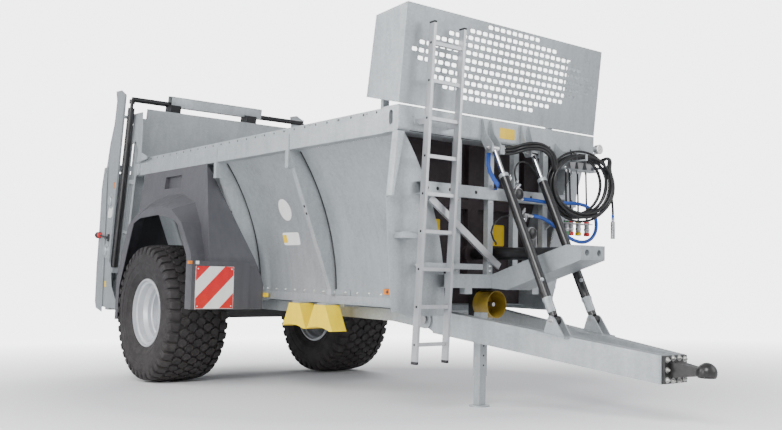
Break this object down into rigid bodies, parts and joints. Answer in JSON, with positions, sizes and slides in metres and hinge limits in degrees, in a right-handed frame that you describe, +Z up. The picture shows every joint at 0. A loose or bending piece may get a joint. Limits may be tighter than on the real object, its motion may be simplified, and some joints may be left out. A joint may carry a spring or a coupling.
{
  "type": "manure spreader",
  "caption": "Towed single-axle manure spreader with a flared push-off hold, lifting rear gate, spreading drums and discs, front ladder, perforated headboard and sprung-strut drawbar.",
  "frame": {"origin": "on the ground, below the middle of the outline", "axes": "+X forward to the drawbar, +Y to the left, +Z up"},
  "size_m": [7.9044, 3.0326, 3.5023],
  "materials": {
    "galvanised": "galvanised, dull",
    "aluminium": "extruded, satin",
    "black_paint": "semi-gloss",
    "chrome": "polished",
    "silver_paint": "satin",
    "panel_red": "dark, matt",
    "tyre": "matt",
    "guard_plastic": "fine grain",
    "yellow_plastic": "satin",
    "black_rubber": "matt",
    "plate": "red and white stripes",
    "steel": "machined",
    "blue_rubber": "smooth",
    "lamp": "clear, coloured"
  },
  "bodies": {
    "machine": {"floor": "galvanised", "side_walls": "galvanised", "side_rails": "galvanised", "ribs": "galvanised", "chassis": "galvanised", "axle": "black_paint", "fixed_pins": "steel", "front_top_beam": "galvanised", "front_frame": "galvanised", "push_barrel": "black_paint", "cylinder_box": "galvanised", "ladder": "aluminium", "pto_guard": "yellow_plastic", "transfer_box": "black_paint", "gate_barrels": "black_paint", "rear_posts": "galvanised", "unit_frame": "galvanised", "mudguards": "guard_plastic", "guard_panels": "guard_plastic", "warning_plates": "plate", "wheel_chocks": "yellow_plastic", "lamps": "lamp", "hose_rack": "galvanised", "valves": "steel", "couplers": "steel", "feed_lines": "black_rubber", "hose_coil": "black_rubber", "hose_bundle": "black_rubber", "hose_tail": "black_rubber", "hose_plug": "chrome", "blue_hose": "blue_rubber", "loop_hose": "black_rubber", "brace": "aluminium"},
    "wheel_left": {"left_tyre": "tyre", "left_wheel": "silver_paint"},
    "wheel_right": {"right_tyre": "tyre", "right_wheel": "silver_paint"},
    "drawbar": {"drawbar": "galvanised", "coupling": "black_paint", "saddle_pins": "steel", "jack_sleeve": "galvanised", "jack_leg": "galvanised"},
    "strut_barrels": {"strut_barrels": "black_paint"},
    "strut_rods": {"strut_rods": "chrome"},
    "push_wall": {"push_wall": "panel_red", "headboard": "galvanised", "push_stage_4": "chrome"},
    "push_stage_1": {"push_stage_1": "chrome"},
    "push_stage_2": {"push_stage_2": "chrome"},
    "push_stage_3": {"push_stage_3": "chrome"},
    "gate": {"gate": "galvanised", "gate_lift": "galvanised", "lift_channel": "galvanised"},
    "hood": {"hood": "galvanised"},
    "drum_lower": {"lower_drum": "galvanised"},
    "drum_upper": {"upper_drum": "galvanised"},
    "disc_left": {"left_disc": "galvanised"},
    "disc_right": {"right_disc": "galvanised"},
    "input_shaft": {"pto_stub": "steel"},
    "drive_shaft": {"drive_shaft": "steel"}
  },
  "joints": [
    {"name": "wheel_left_spin", "type": "hinge", "parent": "machine", "child": "wheel_left", "pos_m": [-2.09247, 1.1, 0.754], "axis": [0, 1, 0], "continuous": true},
    {"name": "wheel_right_spin", "type": "hinge", "parent": "machine", "child": "wheel_right", "pos_m": [-2.09247, -1.1, 0.754], "axis": [0, 1, 0], "continuous": true},
    {"name": "drawbar_pivot", "type": "hinge", "parent": "machine", "child": "drawbar", "pos_m": [1.50899, 0, 0.70458], "axis": [0, 1, 0], "range_deg": [0, 9]},
    {"name": "strut_foot", "type": "hinge", "parent": "drawbar", "child": "strut_barrels", "pos_m": [2.76551, 0, 0.70957], "axis": [0, 1, 0], "range_deg": [-6.4, 0.5]},
    {"name": "strut_extend", "type": "slide", "parent": "strut_barrels", "child": "strut_rods", "axis": [-0.4008, 0, 0.9162], "range_m": [-0.005, 0.1868]},
    {"name": "push", "type": "slide", "parent": "machine", "child": "push_wall", "axis": [-0.999, 0, 0.0454], "range_m": [0, 4.52]},
    {"name": "push_tube_1", "type": "slide", "parent": "machine", "child": "push_stage_1", "axis": [-0.999, 0, 0.0454], "range_m": [0, 1.13]},
    {"name": "push_tube_2", "type": "slide", "parent": "machine", "child": "push_stage_2", "axis": [-0.999, 0, 0.0454], "range_m": [0, 2.26]},
    {"name": "push_tube_3", "type": "slide", "parent": "machine", "child": "push_stage_3", "axis": [-0.999, 0, 0.0454], "range_m": [0, 3.39]},
    {"name": "gate_raise", "type": "slide", "parent": "machine", "child": "gate", "axis": [0.2267, 0, 0.974], "range_m": [0, 1.5]},
    {"name": "hood_open", "type": "hinge", "parent": "machine", "child": "hood", "pos_m": [-3.66883, 0, 2.52333], "axis": [0, 1, 0], "range_deg": [0, 60]},
    {"name": "drum_lower_spin", "type": "hinge", "parent": "machine", "child": "drum_lower", "pos_m": [-3.62974, 0, 1.51051], "axis": [0, 1, 0], "continuous": true},
    {"name": "drum_upper_spin", "type": "hinge", "parent": "machine", "child": "drum_upper", "pos_m": [-3.50171, 0, 2.12534], "axis": [0, 1, 0], "continuous": true},
    {"name": "disc_left_spin", "type": "hinge", "parent": "machine", "child": "disc_left", "pos_m": [-3.57812, 0.5, 0.88353], "axis": [0.0454, 0, 0.999], "continuous": true},
    {"name": "disc_right_spin", "type": "hinge", "parent": "machine", "child": "disc_right", "pos_m": [-3.57812, -0.5, 0.88353], "axis": [0.0454, 0, 0.999], "continuous": true},
    {"name": "drive_shaft_spin", "type": "hinge", "parent": "machine", "child": "drive_shaft", "pos_m": [1.65139, 0, 0.71012], "axis": [0.999, 0, -0.0454], "continuous": true},
    {"name": "input_spin", "type": "hinge", "parent": "machine", "child": "input_shaft", "pos_m": [1.7492, 0, 0.83581], "axis": [0.999, 0, -0.0454], "continuous": true}
  ],
  "couplings": [
    {"joint": "strut_foot", "follows": "drawbar_pivot", "ratio": -0.65512},
    {"joint": "strut_extend", "follows": "drawbar_pivot", "m_per_rad": 1.1252},
    {"joint": "push_tube_1", "follows": "push", "ratio": 0.25},
    {"joint": "push_tube_2", "follows": "push", "ratio": 0.5},
    {"joint": "push_tube_3", "follows": "push", "ratio": 0.75},
    {"joint": "drum_upper_spin", "follows": "drum_lower_spin", "ratio": 1},
    {"joint": "disc_left_spin", "follows": "drum_lower_spin", "ratio": 1.5},
    {"joint": "disc_right_spin", "follows": "drum_lower_spin", "ratio": -1.5},
    {"joint": "drive_shaft_spin", "follows": "drum_lower_spin", "ratio": 2},
    {"joint": "input_spin", "follows": "drum_lower_spin", "ratio": -2}
  ]
}
